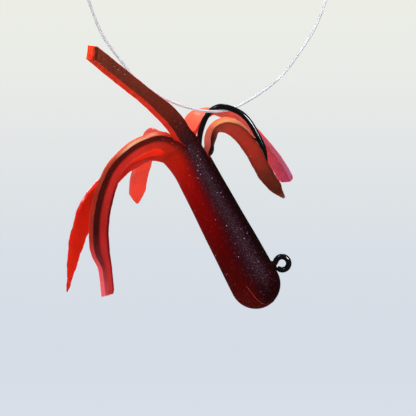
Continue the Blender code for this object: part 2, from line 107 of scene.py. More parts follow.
# each tentacle: angle round the tube, slit start, widths, thickness, route of
# (position, direction of the moulded outer skin), how it narrows towards its end
# on the side of lower angle and on the other, and how far the end is cut back
TENTACLES = {
    "tentacle_front": (56, TUBE_END, (2.15, 2.15), 0.90, [
        ((1.2, -2.9, 22.0), (0.68, -0.72, -0.14)),
        ((0.8, -5.2, 23.7), (0.84, -0.50, -0.21)),
        ((-0.3, -8.0, 25.9), (0.84, -0.50, -0.21)),
        ((-1.2, -10.6, 27.9), (0.84, -0.50, -0.21)),
        ((-2.4, -13.6, 30.4), (0.84, -0.50, -0.21)),
        ((-3.5, -16.4, 32.8), (0.84, -0.50, -0.21)),
        ((-4.4, -18.6, 34.8), (0.84, -0.50, -0.21)),
    ], [(0, 0)], [(0, 0)], 1.0),
    "tentacle_left_front": (116, TUBE_END, (2.12, 2.50), 0.98, [
        ((-1.0, -3.0, 21.5), (-0.30, -0.93, -0.20)),
        ((-2.1, -3.9, 22.3), (-0.20, -0.86, -0.47)),
        ((-3.3, -4.6, 22.6), (-0.12, -0.80, -0.60)),
        ((-6.0, -5.4, 22.5), (0.10, -0.72, -0.69)),
        ((-8.9, -5.8, 21.5), (0.32, -0.76, -0.56)),
        ((-10.8, -5.8, 20.0), (0.44, -0.79, -0.42)),
        ((-12.7, -5.5, 18.0), (0.52, -0.80, -0.31)),
        ((-14.3, -5.2, 15.7), (0.56, -0.79, -0.26)),
        ((-15.5, -4.9, 13.2), (0.57, -0.79, -0.25)),
        ((-16.6, -4.6, 10.4), (0.57, -0.79, -0.22)),
        ((-17.7, -4.3, 7.8), (0.56, -0.80, -0.20)),
    ], [(6.2, 0), (5.2, 0.10), (3.8, 0.36), (0, 0.38)], [(0.6, 0), (0, 0.06)], 0.3),
    "tentacle_left": (176, TUBE_END, (2.20, 2.20), 0.90, [
        ((-2.6, -0.3, 21.3), (-0.70, -0.10, -0.65)),
        ((-3.6, -0.3, 21.6), (-0.35, -0.12, -0.92)),
        ((-4.7, -0.1, 21.6), (-0.12, -0.15, -0.98)),
        ((-5.9, 0.4, 21.5), (0.07, -0.26, -0.96)),
        ((-7.8, 1.1, 21.4), (0.11, -0.50, -0.86)),
        ((-10.0, 1.8, 21.0), (0.21, -0.70, -0.68)),
        ((-12.3, 2.3, 20.3), (0.23, -0.82, -0.52)),
        ((-14.6, 2.5, 19.2), (0.22, -0.91, -0.35)),
        ((-16.5, 2.4, 17.4), (0.17, -0.96, -0.21)),
        ((-18.1, 2.2, 15.6), (0.15, -0.98, -0.14)),
        ((-19.48, 2.0, 13.43), (0.13, -0.99, -0.07)),
        ((-20.57, 1.8, 11.56), (0.09, -1.00, -0.05)),
        ((-21.42, 1.7, 10.13), (0.09, -1.00, -0.05)),
    ], [(0, 0)], [(8.2, 0), (6.0, 0.15), (3.0, 0.50), (1.2, 0.74), (0, 0.90)], 0.15),
    "tentacle_left_rear": (236, TUBE_END, (2.30, 2.30), 0.90, [
        ((-1.4, 3.0, 21.7), (-0.50, 0.72, 0.30)),
        ((-1.8, 5.4, 23.3), (-0.60, -0.05, -0.60)),
        ((-2.7, 8.4, 23.7), (-0.40, -0.53, -0.75)),
        ((-4.3, 11.6, 22.7), (0.03, -0.81, -0.59)),
        ((-6.0, 14.4, 21.1), (0.21, -0.86, -0.46)),
        ((-7.6, 16.8, 19.5), (0.26, -0.89, -0.37)),
        ((-9.3, 19.0, 17.0), (0.26, -0.90, -0.36)),
    ], [(1.5, 0), (0, 0.40)], [(2.2, 0), (0, 0.46)], 0.15),
    "tentacle_right_rear": (296, TUBE_END, (2.15, 2.15), 0.90, [
        ((1.6, 2.8, 21.6), (0.25, 0.93, -0.15)),
        ((3.0, 3.9, 22.7), (-0.30, 0.77, -0.56)),
        ((4.5, 5.4, 23.0), (-0.56, 0.11, -0.82)),
        ((6.0, 7.0, 22.7), (-0.63, -0.20, -0.75)),
        ((7.2, 9.0, 21.8), (-0.70, -0.46, -0.55)),
        ((8.3, 11.2, 20.2), (-0.75, -0.52, -0.42)),
        ((9.3, 13.6, 18.3), (-0.76, -0.56, -0.34)),
        ((10.0, 15.8, 15.9), (-0.73, -0.61, -0.30)),
        ((10.5, 17.5, 13.7), (-0.71, -0.66, -0.25)),
        ((10.8, 19.0, 11.5), (-0.71, -0.66, -0.25)),
        ((10.9, 20.0, 9.7), (-0.71, -0.66, -0.25)),
    ], [(0.5, 0), (0, 0.14)], [(0.4, 0), (0, 0.08)], 0.15),
    "tentacle_right": (356, DEEP, (2.20, 2.20), 0.90, [
        ((3.0, 0.3, 18.2), (0.99, -0.05, -0.10)),
        ((3.5, 0.6, 19.1), (0.94, -0.16, -0.31)),
        ((4.3, 1.1, 19.9), (0.73, -0.34, -0.59)),
        ((5.3, 1.9, 20.4), (0.05, -0.46, -0.89)),
        ((6.3, 3.0, 20.2), (-0.12, -0.54, -0.83)),
        ((7.29, 4.6, 19.20), (-0.12, -0.61, -0.78)),
        ((7.87, 6.4, 17.70), (-0.10, -0.67, -0.74)),
        ((8.20, 8.4, 15.69), (-0.08, -0.70, -0.71)),
        ((8.31, 10.8, 13.44), (-0.06, -0.72, -0.69)),
        ((8.43, 13.2, 11.03), (-0.06, -0.72, -0.69)),
        ((8.7, 14.8, 9.4), (-0.06, -0.72, -0.69)),
        ((9.1, 16.0, 8.0), (-0.06, -0.72, -0.69)),
    ], [(6.0, 0), (2.6, 0.20), (0, 0.50)], [(2.6, 0), (0, 0.34)], 0.15),
}


# ------------------------------------------------------------------- helpers
def w(p):
    """lure frame, mm -> world, m"""
    p = np.asarray(p, float)
    return (ORIGIN + p @ TURN.T) * MM


def unit(v):
    v = np.asarray(v, float)
    return v / np.linalg.norm(v)


def smooth(x, lo, hi):
    t = np.clip((np.asarray(x, float) - lo) / (hi - lo), 0.0, 1.0)
    return t * t * (3 - 2 * t)


def lin(hexa):
    """sRGB hex -> linear RGB"""
    c = np.array([int(hexa[i:i + 2], 16) / 255.0 for i in (1, 3, 5)])
    return np.where(c <= 0.04045, c / 12.92, ((c + 0.055) / 1.055) ** 2.4)


def ramp(x, stops):
    """Piecewise linear colour ramp, [(position, rgb)]"""
    pos = [s for s, _ in stops]
    cols = np.array([c for _, c in stops])
    return np.stack([np.interp(x, pos, cols[:, k]) for k in range(3)], -1)


def mix(a, b, t):
    t = np.asarray(t, float)
    if t.ndim == 0:
        return a * (1 - t) + b * t
    return a * (1 - t[..., None]) + b * t[..., None]


def tube_radius(a):
    return float(np.interp(a, [s for s, _ in TUBE_STATIONS], [r for _, r in TUBE_STATIONS]))


def flare(angle, along):
    """How far the outer skin is pulled out where the left tentacle leaves it."""
    off = (angle - 176.0 + 180.0) % 360.0 - 180.0
    return 0.72 * math.exp(-(off / 26.0) ** 2) * max(0.0, (along - 16.4) / 3.56) ** 1.8


def around(angle, radius, along):
    t = math.radians(angle)
    return np.array([radius * math.cos(t), -radius * math.sin(t), along])


def spline_through(points, step):
    """Points about `step` apart on a smooth curve (centripetal Catmull-Rom)."""
    p = [np.array(q, float) for q in points]
    p = [2 * p[0] - p[1]] + p + [2 * p[-1] - p[-2]]
    fine = []
    for i in range(1, len(p) - 2):
        p0, p1, p2, p3 = p[i - 1:i + 3]
        t0 = 0.0
        t1 = t0 + np.linalg.norm(p1 - p0) ** 0.5
        t2 = t1 + np.linalg.norm(p2 - p1) ** 0.5
        t3 = t2 + np.linalg.norm(p3 - p2) ** 0.5
        for t in np.linspace(t1, t2, 24, endpoint=False):
            a1 = (t1 - t) / (t1 - t0) * p0 + (t - t0) / (t1 - t0) * p1
            a2 = (t2 - t) / (t2 - t1) * p1 + (t - t1) / (t2 - t1) * p2
            a3 = (t3 - t) / (t3 - t2) * p2 + (t - t2) / (t3 - t2) * p3
            b1 = (t2 - t) / (t2 - t0) * a1 + (t - t0) / (t2 - t0) * a2
            b2 = (t3 - t) / (t3 - t1) * a2 + (t - t1) / (t3 - t1) * a3
            fine.append((t2 - t) / (t2 - t1) * b1 + (t - t1) / (t2 - t1) * b2)
    fine.append(p[-2])
    fine = np.array(fine)
    run = np.concatenate([[0], np.cumsum(np.linalg.norm(np.diff(fine, axis=0), axis=1))])
    count = max(2, int(round(run[-1] / step)) + 1)
    at = np.linspace(0, run[-1], count)
    return np.stack([np.interp(at, run, fine[:, k]) for k in range(fine.shape[1])], 1)


def arc_run(path):
    return np.concatenate([[0], np.cumsum(np.linalg.norm(np.diff(path, axis=0), axis=1))])


def add_mesh(name, verts, faces, colours=None, sharp=38.0, extra=None):
    """A mesh object from world points in metres, with per-point colour and the
    rest position that the procedural textures are laid out in."""
    mesh = bpy.data.meshes.new(name)
    mesh.from_pydata([tuple(v) for v in verts], [], [tuple(f) for f in faces])
    mesh.validate()
    if colours is not None:
        c = np.ones((len(verts), 4), np.float32)
        c[:, :3] = colours
        att = mesh.color_attributes.new("tint", "FLOAT_COLOR", "POINT")
        att.data.foreach_set("color", c.ravel())
    rest = mesh.attributes.new("rest_mm", "FLOAT_VECTOR", "POINT")
    rest.data.foreach_set("vector", (np.asarray(verts, np.float32) / MM).ravel())
    for key, values in (extra or {}).items():
        att = mesh.attributes.new(key, "FLOAT", "POINT")
        att.data.foreach_set("value", np.asarray(values, np.float32))
    mesh.shade_smooth()
    if sharp:
        mesh.set_sharp_from_angle(angle=math.radians(sharp))
    obj = bpy.data.objects.new(name, mesh)
    bpy.context.scene.collection.objects.link(obj)
    return obj


def swept(path, radii, sides, close_start=True, close_end=True, squash=None):
    """Verts and faces of a round bar along path, on a turning-minimal frame."""
    path = np.asarray(path, float)
    t = np.gradient(path, axis=0)
    t /= np.linalg.norm(t, axis=1)[:, None]
    ref = np.array([0, 1.0, 0]) if abs(t[0][1]) < 0.9 else np.array([1.0, 0, 0])
    n = unit(ref - t[0] * np.dot(ref, t[0]))
    verts, faces = [], []
    for i, p in enumerate(path):
        n = unit(n - t[i] * np.dot(n, t[i]))
        b = np.cross(t[i], n)
        for k in range(sides):
            a = 2 * math.pi * k / sides
            verts.append(p + radii[i] * (math.cos(a) * n + math.sin(a) * b))
    for i in range(len(path) - 1):
        for k in range(sides):
            j = (k + 1) % sides
            faces.append((i * sides + k, i * sides + j, (i + 1) * sides + j, (i + 1) * sides + k))
    if close_start:
        verts.append(path[0])
        c = len(verts) - 1
        faces += [(c, (k + 1) % sides, k) for k in range(sides)]
    if close_end:
        verts.append(path[-1])
        c = len(verts) - 1
        s = (len(path) - 1) * sides
        faces += [(c, s + k, s + (k + 1) % sides) for k in range(sides)]
    return verts, faces


# ----------------------------------------------------------------- materials
def nodes_of(name):
    mat = bpy.data.materials.new(name)
    mat.use_nodes = True
    nt = mat.node_tree
    return mat, nt, nt.nodes["Principled BSDF"]


def node(nt, kind, **props):
    n = nt.nodes.new(kind)
    for k, v in props.items():
        setattr(n, k, v)
    return n


def link(nt, a, b):
    nt.links.new(a, b)


def noise(nt, vec, scale, detail=2.0, rough=0.5):
    n = node(nt, "ShaderNodeTexNoise")
    n.inputs["Scale"].default_value = scale
    n.inputs["Detail"].default_value = detail
    n.inputs["Roughness"].default_value = rough
    link(nt, vec, n.inputs["Vector"])
    return n.outputs["Fac"]


def remap(nt, value, lo, hi, to_lo=0.0, to_hi=1.0, smoothstep=False):
    n = node(nt, "ShaderNodeMapRange")
    n.interpolation_type = "SMOOTHSTEP" if smoothstep else "LINEAR"
    link(nt, value, n.inputs["Value"])
    n.inputs["From Min"].default_value = lo
    n.inputs["From Max"].default_value = hi
    n.inputs["To Min"].default_value = to_lo
    n.inputs["To Max"].default_value = to_hi
    return n.outputs["Result"]


def math_node(nt, op, a, b):
    n = node(nt, "ShaderNodeMath", operation=op)
    for i, v in enumerate((a, b)):
        if hasattr(v, "is_output"):
            link(nt, v, n.inputs[i])
        else:
            n.inputs[i].default_value = v
    return n.outputs[0]


def mix_colour(nt, fac, a, b, mode="MIX"):
    n = node(nt, "ShaderNodeMix", data_type="RGBA", blend_type=mode)
    for v, s in ((fac, n.inputs["Factor"]), (a, n.inputs[6]), (b, n.inputs[7])):
        if hasattr(v, "is_output"):
            link(nt, v, s)
        elif isinstance(v, (int, float)):
            s.default_value = v
        else:
            s.default_value = (*v, 1.0)
    return n.outputs[2]


# world mm and radius
FLECKS = [(-4.98, -0.35, -9.95, 0.14), (4.35, 0.55, -25.72, 0.16), (3.25, -0.35, -25.05, 0.12), (1.9, -1.75, -17.2, 0.07)]


def plastisol(name, roughness=0.24, coat=0.35, sss=0.30, specular=0.35, bump=0.22, reach=0.0007):
    """Soft, slightly oily vinyl: tint by point, mottled, flecked with glitter."""
    mat, nt, bsdf = nodes_of(name)
    tint = node(nt, "ShaderNodeVertexColor", layer_name="tint").outputs["Color"]
    vec = node(nt, "ShaderNodeAttribute", attribute_name="rest_mm").outputs["Vector"]
    glitter = node(nt, "ShaderNodeAttribute", attribute_name="glitter").outputs["Fac"]

    # mottling of the pour, and a finer grain
    soft = remap(nt, noise(nt, vec, 0.55, 3.0), 0.3, 0.7, 0.90, 1.08)
    fine = remap(nt, noise(nt, vec, 5.0, 3.0, 0.6), 0.3, 0.7, 0.95, 1.05)
    mult = math_node(nt, "MULTIPLY", soft, fine)
    grey = node(nt, "ShaderNodeCombineColor")
    for s in ("Red", "Green", "Blue"):
        link(nt, mult, grey.inputs[s])
    colour = mix_colour(nt, 1.0, tint, grey.outputs[0], "MULTIPLY")

    # glitter: a small hard speck in some of the cells, a second finer dust
    def specks(scale, keep, size):
        v = node(nt, "ShaderNodeTexVoronoi", feature="F1", distance="EUCLIDEAN")
        v.inputs["Scale"].default_value = scale
        link(nt, vec, v.inputs["Vector"])
        spot = remap(nt, v.outputs["Distance"], size, size * 0.55)
        split = node(nt, "ShaderNodeSeparateColor")
        link(nt, v.outputs["Color"], split.inputs[0])
        thresh = math_node(nt, "SUBTRACT", 1.0, math_node(nt, "MULTIPLY", glitter, keep))
        chosen = math_node(nt, "GREATER_THAN", split.outputs[0], thresh)
        return math_node(nt, "MULTIPLY", spot, chosen), split.outputs[1]

    big, tone = specks(2.7, 0.40, 0.17)
    tiny, tone2 = specks(6.5, 0.80, 0.34)
    speck_col = mix_colour(nt, tone, lin("#8c6f9c"), lin("#d8cbe6"))
    dust_col = mix_colour(nt, tone2, lin("#6a4a66"), lin("#9d86ad"))
    colour = mix_colour(nt, math_node(nt, "MULTIPLY", tiny, 0.32), colour, dust_col)
    colour = mix_colour(nt, big, colour, speck_col)
    # dark flecks of grit caught in the pour
    for spot in FLECKS:
        d = node(nt, "ShaderNodeVectorMath", operation="DISTANCE")
        link(nt, vec, d.inputs[0])
        d.inputs[1].default_value = spot[:3]
        colour = mix_colour(nt, remap(nt, d.outputs["Value"], spot[3], spot[3] * 0.6), colour, lin("#120405"))
    link(nt, colour, bsdf.inputs["Base Color"])

    rough = remap(nt, noise(nt, vec, 1.8, 4.0, 0.6), 0.3, 0.7, roughness - 0.05, roughness + 0.09)
    link(nt, rough, bsdf.inputs["Roughness"])
    bsdf.inputs["Specular IOR Level"].default_value = specular
    bsdf.inputs["IOR"].default_value = 1.45
    bsdf.inputs["Coat Weight"].default_value = coat
    bsdf.inputs["Coat Roughness"].default_value = 0.05
    bsdf.inputs["Coat IOR"].default_value = 1.40
    bsdf.inputs["Subsurface Weight"].default_value = sss
    bsdf.inputs["Subsurface Radius"].default_value = (1.0, 0.12, 0.08)
    bsdf.inputs["Subsurface Scale"].default_value = reach
    b = node(nt, "ShaderNodeBump")
    b.inputs["Strength"].default_value = bump
    b.inputs["Distance"].default_value = 0.00006
    h = math_node(nt, "ADD", noise(nt, vec, 1.4, 4.0, 0.55),
                  math_node(nt, "MULTIPLY", noise(nt, vec, 9.0, 2.0), 0.25))
    link(nt, h, b.inputs["Height"])
    link(nt, b.outputs["Normal"], bsdf.inputs["Normal"])
    return mat


def black_nickel():
    mat, nt, bsdf = nodes_of("black_nickel_wire")
    vec = node(nt, "ShaderNodeAttribute", attribute_name="rest_mm").outputs["Vector"]
    worn = remap(nt, noise(nt, vec, 2.2, 5.0, 0.65), 0.42, 0.75)
    link(nt, mix_colour(nt, worn, (0.040, 0.040, 0.044), (0.065, 0.062, 0.068)), bsdf.inputs["Base Color"])
    link(nt, remap(nt, noise(nt, vec, 3.5, 4.0, 0.6), 0.3, 0.7, 0.10, 0.24), bsdf.inputs["Roughness"])
    bsdf.inputs["Metallic"].default_value = 1.0
    bsdf.inputs["Specular Tint"].default_value = (0.10, 0.10, 0.11, 1.0)
    bsdf.inputs["Coat Weight"].default_value = 0.9
    bsdf.inputs["Coat Roughness"].default_value = 0.03
    bsdf.inputs["Coat IOR"].default_value = 1.5
    b = node(nt, "ShaderNodeBump")
    b.inputs["Strength"].default_value = 0.12
    b.inputs["Distance"].default_value = 0.00003
    link(nt, noise(nt, vec, 6.0, 4.0), b.inputs["Height"])
    link(nt, b.outputs["Normal"], bsdf.inputs["Normal"])
    return mat


def cast_lead():
    mat, nt, bsdf = nodes_of("cast_lead")
    vec = node(nt, "ShaderNodeTexCoord").outputs["Object"]
    worn = remap(nt, noise(nt, vec, 900.0, 5.0, 0.65), 0.35, 0.7)
    link(nt, mix_colour(nt, worn, lin("#4a4b4f"), lin("#85868a")), bsdf.inputs["Base Color"])
    link(nt, remap(nt, noise(nt, vec, 2200.0, 3.0), 0.3, 0.7, 0.42, 0.62), bsdf.inputs["Roughness"])
    bsdf.inputs["Metallic"].default_value = 0.9
    b = node(nt, "ShaderNodeBump")
    b.inputs["Strength"].default_value = 0.35
    b.inputs["Distance"].default_value = 0.00006
    link(nt, noise(nt, vec, 1500.0, 4.0), b.inputs["Height"])
    link(nt, b.outputs["Normal"], bsdf.inputs["Normal"])
    return mat


def monofilament():
    mat, nt, bsdf = nodes_of("clear_line")
    vec = node(nt, "ShaderNodeTexCoord").outputs["Object"]
    shade = remap(nt, noise(nt, vec, 700.0, 2.0), 0.3, 0.7)
    link(nt, mix_colour(nt, shade, lin("#dad7dd"), lin("#e8e6ea")), bsdf.inputs["Base Color"])
    link(nt, remap(nt, noise(nt, vec, 1500.0, 2.0), 0.3, 0.7, 0.26, 0.32), bsdf.inputs["Roughness"])
    bsdf.inputs["Transmission Weight"].default_value = 0.35
    bsdf.inputs["IOR"].default_value = 1.50
    bsdf.inputs["Specular IOR Level"].default_value = 0.6
    return mat


# --------------------------------------------------------- colour of the plastic
RED_SHADE_AND_GLOW_ALONG = [                      # the red laminate from the nose to the tail, darker over the lead head in the nose and brighter towards the thin tail: painted shade and painted backlit glow
    (-3.3, lin("#4a0806")), (-1.5, lin("#520605")), (0.8, lin("#480503")), (4.5, lin("#4c0202")),
    (8.0, lin("#600101")), (12.0, lin("#780201")), (15.0, lin("#920803")),
    (18.0, lin("#b41809")), (20.5, lin("#c0240f")), (23.0, lin("#b02012")),
]
DARK_SHADE_AND_GLOW_ALONG = [                     # the near-black laminate, with the same painted shade over the lead head and painted glow towards the tail
    (-3.3, lin("#2c0605")), (-1.5, lin("#240506")), (2.0, lin("#160405")), (6.0, lin("#110304")),
    (14.0, lin("#130304")), (18.0, lin("#1a0504")), (20.5, lin("#2a0c08")), (24.0, lin("#3a140d")),
]


def dark_share(theta):
    """1 in the near-black back, 0 in the red belly; theta in degrees"""
    x = (np.asarray(theta, float) + 180.0) % 360.0 - 180.0
    return (1 - smooth(x, 74.0, 124.0)) * smooth(x, -46.0, -22.0)


def tube_colour(theta, along):
    red = ramp(along, RED_SHADE_AND_GLOW_ALONG)
    dark = ramp(along, DARK_SHADE_AND_GLOW_ALONG)
    col = mix(red, dark, dark_share(theta))
    x = (np.asarray(theta, float) + 180.0) % 360.0 - 180.0
    sheen_haze = np.exp(-((x - 72.0) / 24.0) ** 2) * smooth(along, -2.5, 3.0)   # fine glitter, and a painted sheen where light catches it, seen as a lilac haze
    return mix(col, lin("#46202a"), 0.34 * sheen_haze)


def tube_glitter_and_sheen(theta, along):
    x = (np.asarray(theta, float) + 180.0) % 360.0 - 180.0
    # the glitter specks are real; crowding them into a band round the front, where light catches them, is a painted
    # sheen
    sheen_band = np.exp(-((x - 70.0) / 20.0) ** 2)
    return np.clip(0.10 + 0.95 * sheen_band, 0, 1) * (0.35 + 0.65 * smooth(along, -3.0, 2.0))


# ------------------------------------------------------------------- the tube
PER = 14                          # columns in each sixth of the tube


def build_tube():
    first = -34.0
    n = 6 * PER
    thetas = first + 60.0 / PER * np.arange(n)
    nose_angles = [4, 10, 18, 27, 36, 45, 54, 63, 72, 81]
    rows = []
    r0 = tube_radius(0)
    for t in nose_angles:          # (radius, along) of the outer skin
        tt = math.radians(t)
        rows.append((r0 * math.sin(tt), -r0 * math.cos(tt)))
    alongs = list(np.arange(0, DEEP - 0.2, 0.6)) + [DEEP]
    alongs += list(DEEP + (TUBE_END - DEEP) * np.arange(1, 7) / 6.0)
    rows += [(tube_radius(a), a) for a in alongs]
    deep_row = len(nose_angles) + alongs.index(DEEP)
    verts, theta_of, along_of, wall_of = [], [], [], []

    def add(p, th, al, wall):
        verts.append(p)
        theta_of.append(th)
        along_of.append(al)
        wall_of.append(wall)
        return len(verts) - 1

    def wobble(th, a):
        # the pour is never quite round: a few hundredths of a millimetre
        t = math.radians(th)
        return 0.018 * math.sin(2 * t + 0.35 * a) + 0.010 * math.sin(3 * t - 0.9 * a)

    fade = lambda a: float(1 - smooth(a, DEEP - 3.0, DEEP - 0.4))
    grid = [[add(around(th, r + flare(th, a) + wobble(th, a) * fade(a) * (0 if a < -2.9 else 1), a), th, a, 0)
             for th in thetas] for r, a in rows]
    tip = add(np.array([0, 0, -r0]), 90.0, -r0, 0)

    inner_rows = []
    r_in = r0 - WALL
    for t in (20, 40, 60, 75):
        tt = math.radians(t)
        inner_rows.append((r_in * math.sin(tt), -r_in * math.cos(tt)))
    inner_rows += [(tube_radius(a) - WALL, a) for a in alongs]
    inner_deep = 4 + alongs.index(DEEP)
    inner = [[add(around(th, r, a), th, a, 1) for th in thetas] for r, a in inner_rows]
    inner_tip = add(np.array([0, 0, -r_in]), 90.0, -r_in, 1)

    faces = []
    deep_cols = range(0, PER)      # the sixth that the right tentacle is cut from
    for i in range(len(rows) - 1):
        for k in range(n):
            if k in deep_cols and i >= deep_row:
                continue
            j = (k + 1) % n
            faces.append((grid[i][k], grid[i + 1][k], grid[i + 1][j], grid[i][j]))
    for i in range(len(inner_rows) - 1):
        for k in range(n):
            if k in deep_cols and i >= inner_deep:
                continue
            j = (k + 1) % n
            faces.append((inner[i][k], inner[i][j], inner[i + 1][j], inner[i + 1][k]))
    for k in range(n):
        j = (k + 1) % n
        faces.append((tip, grid[0][k], grid[0][j]))
        faces.append((inner_tip, inner[0][j], inner[0][k]))
    # the two cut faces of the deeper slits
    for k, flip in ((0, False), (PER, True)):
        for i in range(len(alongs) - 1 - alongs.index(DEEP)):
            a, b = grid[deep_row + i][k], grid[deep_row + i + 1][k]
            c, d = inner[inner_deep + i + 1][k], inner[inner_deep + i][k]
            faces.append((a, d, c, b) if flip else (a, b, c, d))
    theta_of, along_of, wall_of = map(np.array, (theta_of, along_of, wall_of))
    colours = tube_colour(theta_of, along_of)
    # the inner wall: the red laminate at three quarters, a painted shade inside the tube
    inside_shaded = ramp(along_of, RED_SHADE_AND_GLOW_ALONG) * 0.75
    colours = np.where(wall_of[:, None] == 1, inside_shaded, colours)
    glitter = np.where(wall_of == 1, 0.0, tube_glitter_and_sheen(theta_of, along_of))
    used = sorted({v for f in faces for v in f})
    index = {v: i for i, v in enumerate(used)}
    faces = [tuple(index[v] for v in f) for f in faces]
    P = np.array(verts)[used]
    obj = add_mesh("tube_skin", w(P), faces, colours[used], 40.0, {"glitter": glitter[used]})
    return obj


# -------------------------------------------------------------- the tentacles
def leg_look(name, u, v, d, length, theta):
    """Colour and glitter of a tentacle's point: u across (-1 at the lower tube
    angle .. 1), v 1 on the outer skin, -1 on the inner face, between on a cut
    face, d along, theta the tube angle that the point comes from."""
    n = len(u)
    outer, cutf = v > 0.99, np.abs(v) <= 0.99
    inner = v < -0.99
    f = np.clip(d / length, 0, 1)
    red_root = lin("#c8240f")
    if name == "tentacle_front":
        skin = ramp(d, [(0, lin("#280a06")), (3, lin("#4c150c")), (8, lin("#661f11")), (18, lin("#682a1c")), (26, lin("#74301f"))])
        cut = ramp(d, [(0, lin("#b81c0c")), (5, lin("#cf2a16")), (14, lin("#d0321c")), (27, lin("#b8341e"))])
        back = ramp(d, [(0, lin("#8a1408")), (8, lin("#a02010")), (27, lin("#b4301c"))])
    elif name == "tentacle_left_front":
        dark = ramp(d, [(0, lin("#3a0f0b")), (5, lin("#6a1c12")), (12, lin("#50140f")), (19, lin("#401210")), (23, lin("#7a2424")), (27, lin("#c04c54"))])
        red = ramp(d, [(0, red_root), (4, lin("#d83420")), (10, lin("#e03428")), (18, lin("#b82420")), (27, lin("#c0302f"))])
        skin = mix(red, dark, 1 - smooth(u, -0.36, -0.06))
        # painted shade along the high-angle edge of the outer skin, where it turns away
        skin = mix(skin, lin("#4c0c10"), smooth(u, 0.56, 0.82) * smooth(d, 9, 15))
        # the cut face: the cream from about 4 to 9 mm is a painted highlight where it faces up over the arch, kept
        # cream next to the outer skin and turning pink-red towards the inner face
        cut = ramp(d, [(0, lin("#c8240f")), (3, lin("#c03a20")), (5.2, lin("#c8906a")), (7.4, lin("#d0a078")), (9.6, lin("#9c3a24")), (14, lin("#8c2a1a")), (20, lin("#9c2c20")), (23, lin("#d44a50")), (27, lin("#e86a70"))])
        cut = mix(cut, lin("#c84a36"), 0.80 * (1 - smooth(v, -0.35, 0.30)) * smooth(d, 3, 5) * (1 - smooth(d, 9, 13)))
        back = ramp(d, [(0, lin("#b01c0c")), (27, lin("#a81410"))])
    elif name == "tentacle_left":
        skin = ramp(d, [(0, lin("#b01a0a")), (3, lin("#c42010")), (7, lin("#b8180e")), (14, lin("#c01c0a")), (27, lin("#c82414"))])
        cut = ramp(d, [(0, lin("#c8240f")), (5, lin("#d02814")), (9, lin("#c82010")), (27, lin("#c41a0c"))])
        back = ramp(d, [(0, lin("#c01c0c")), (27, lin("#c01408"))])
    elif name == "tentacle_left_rear":
        skin = ramp(d, [(0, lin("#b81c0c")), (8, lin("#e04430")), (27, lin("#f04e3a"))])
        cut = ramp(d, [(0, lin("#c8240f")), (8, lin("#d8564a")), (27, lin("#d84a40"))])
        back = ramp(d, [(0, lin("#b81c0c")), (8, lin("#d0503e")), (27, lin("#c83a30"))])
    elif name == "tentacle_right_rear":
        dark = lin("#8a2c34")
        red = ramp(d, [(0, lin("#b81c0c")), (6, lin("#e2664c")), (16, lin("#e05040")), (21, lin("#cc4444")), (28, lin("#b8405c"))])
        skin = mix(red, dark, 0.35 * smooth(u, 0.30, 0.95))
        cut = ramp(d, [(0, lin("#c8240f")), (10, lin("#d85848")), (22, lin("#b45868")), (28, lin("#b06080"))])
        back = ramp(d, [(0, lin("#c83420")), (4, lin("#d8604a")), (8, lin("#dc6c54")), (28, lin("#c85060"))])
    else:
        skin = ramp(d, [(0, lin("#160506")), (2.2, lin("#200c10")), (3.6, lin("#401a16")), (5.2, lin("#a8402a")), (7.5, lin("#c4402c")), (12, lin("#c03826")), (16, lin("#b03424")), (20, lin("#782c1a")), (24, lin("#5c2414")), (26, lin("#8a5a40"))])
        # painted shade darkens both edges of the blade beyond its root
        skin = mix(skin, lin("#5c2012"), 0.60 * smooth(np.abs(u), 0.45, 1.0) * smooth(d, 4.5, 8.0))
        # the cut face's khaki, with a painted pale highlight where it tops the arch at about 5 to 7 mm, turning
        # pink-red towards the inner face
        cut = ramp(d, [(0, lin("#4a1612")), (1.4, lin("#9a3c38")), (4.2, lin("#c45e4a")), (5.4, lin("#d89c62")), (6.8, lin("#c89a62")), (9, lin("#8a6a4c")), (25, lin("#7a4a38"))])
        cut = mix(cut, lin("#de6a4c"), 0.85 * (1 - smooth(v, -0.10, 0.45)) * smooth(d, 2, 4) * (1 - smooth(d, 10, 14)))
        back = ramp(d, [(0, lin("#98180c")), (4, lin("#c05438")), (7, lin("#c87850")), (12, lin("#b04030")), (25, lin("#a03a30"))])
    col = np.where(outer[:, None], skin, np.where(inner[:, None], back, cut))
    # the skin's colour comes from the tube's at the root
    root_t = 1 - smooth(d, 0.0, 4.5)
    root_skin = tube_colour(theta, np.full(n, TUBE_END if name != "tentacle_right" else DEEP) + 0.6 * d)
    col = np.where(outer[:, None], mix(col, root_skin, root_t), col)
    g = np.where(outer, tube_glitter_and_sheen(theta, np.full(n, 15.0)) * (1 - 0.75 * smooth(d, 0, 8)), 0.02)
    g = np.maximum(g, np.where(outer, 0.10, 0.05))
    return col, g


